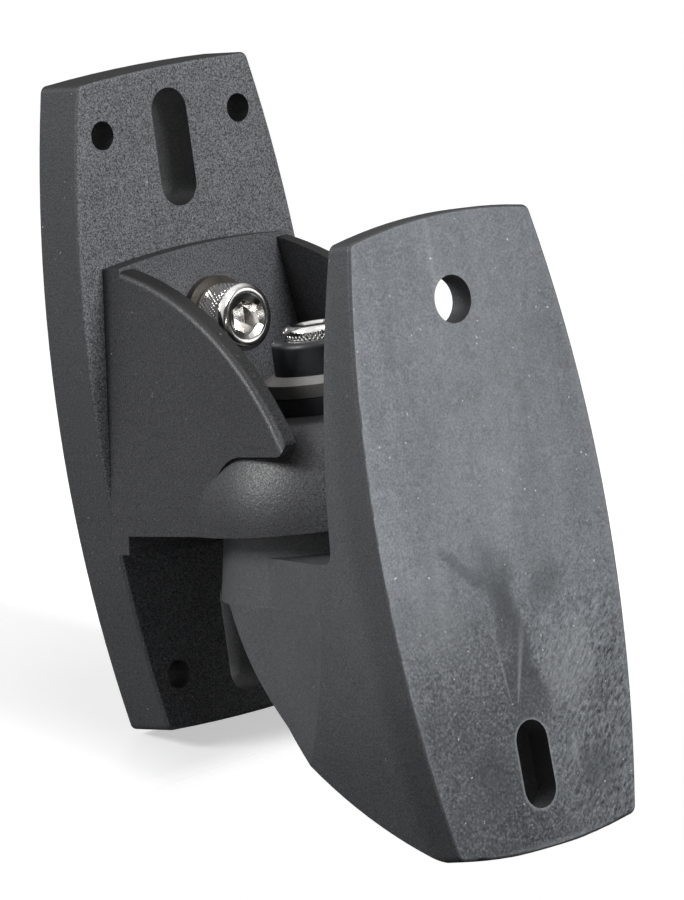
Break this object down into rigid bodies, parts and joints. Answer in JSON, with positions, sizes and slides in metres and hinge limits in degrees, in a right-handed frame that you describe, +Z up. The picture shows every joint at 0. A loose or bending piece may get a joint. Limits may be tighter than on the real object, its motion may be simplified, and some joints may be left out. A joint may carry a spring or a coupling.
{
  "type": "speaker wall bracket",
  "caption": "Wall bracket for a small loudspeaker: barrel shaped wall plate, swivel housing, and a cast arm with a speaker plate that turns and tilts on a clamped ball joint.",
  "frame": {"origin": "centre of the wall plate's back, where it meets the wall", "axes": "X to the right as seen from the room, Y into the wall, Z up along the wall plate"},
  "size_m": [0.0594, 0.0897, 0.1488],
  "materials": {
    "wall_plate": "fine textured powder coat",
    "housing": "fine textured powder coat",
    "arm": "worn satin powder coat",
    "screw": "bright plated",
    "nut": "zinc plated",
    "bevel_washer": "matt grey",
    "plastic": "black moulded",
    "insert": "dark grey moulded"
  },
  "bodies": {
    "wall_unit": {"wall_plate": "wall_plate", "swivel_housing": "housing", "housing_screw": "screw", "housing_washer": "nut", "housing_nut": "nut", "seat_ring": "plastic"},
    "ball_unit": {"ball_insert": "insert"},
    "speaker_unit": {"speaker_arm": "arm", "bevel_washer": "bevel_washer", "screw_cup": "plastic", "pivot_screw": "screw", "pivot_nut": "nut"}
  },
  "joints": [
    {"name": "tilt", "type": "hinge", "parent": "wall_unit", "child": "ball_unit", "pos_m": [0, -0.0447, -0.024], "axis": [1, 0, 0], "range_deg": [-8, 8]},
    {"name": "turn", "type": "hinge", "parent": "ball_unit", "child": "speaker_unit", "pos_m": [0, -0.0447, -0.024], "axis": [0, 0, 1], "range_deg": [-40, 40]}
  ]
}
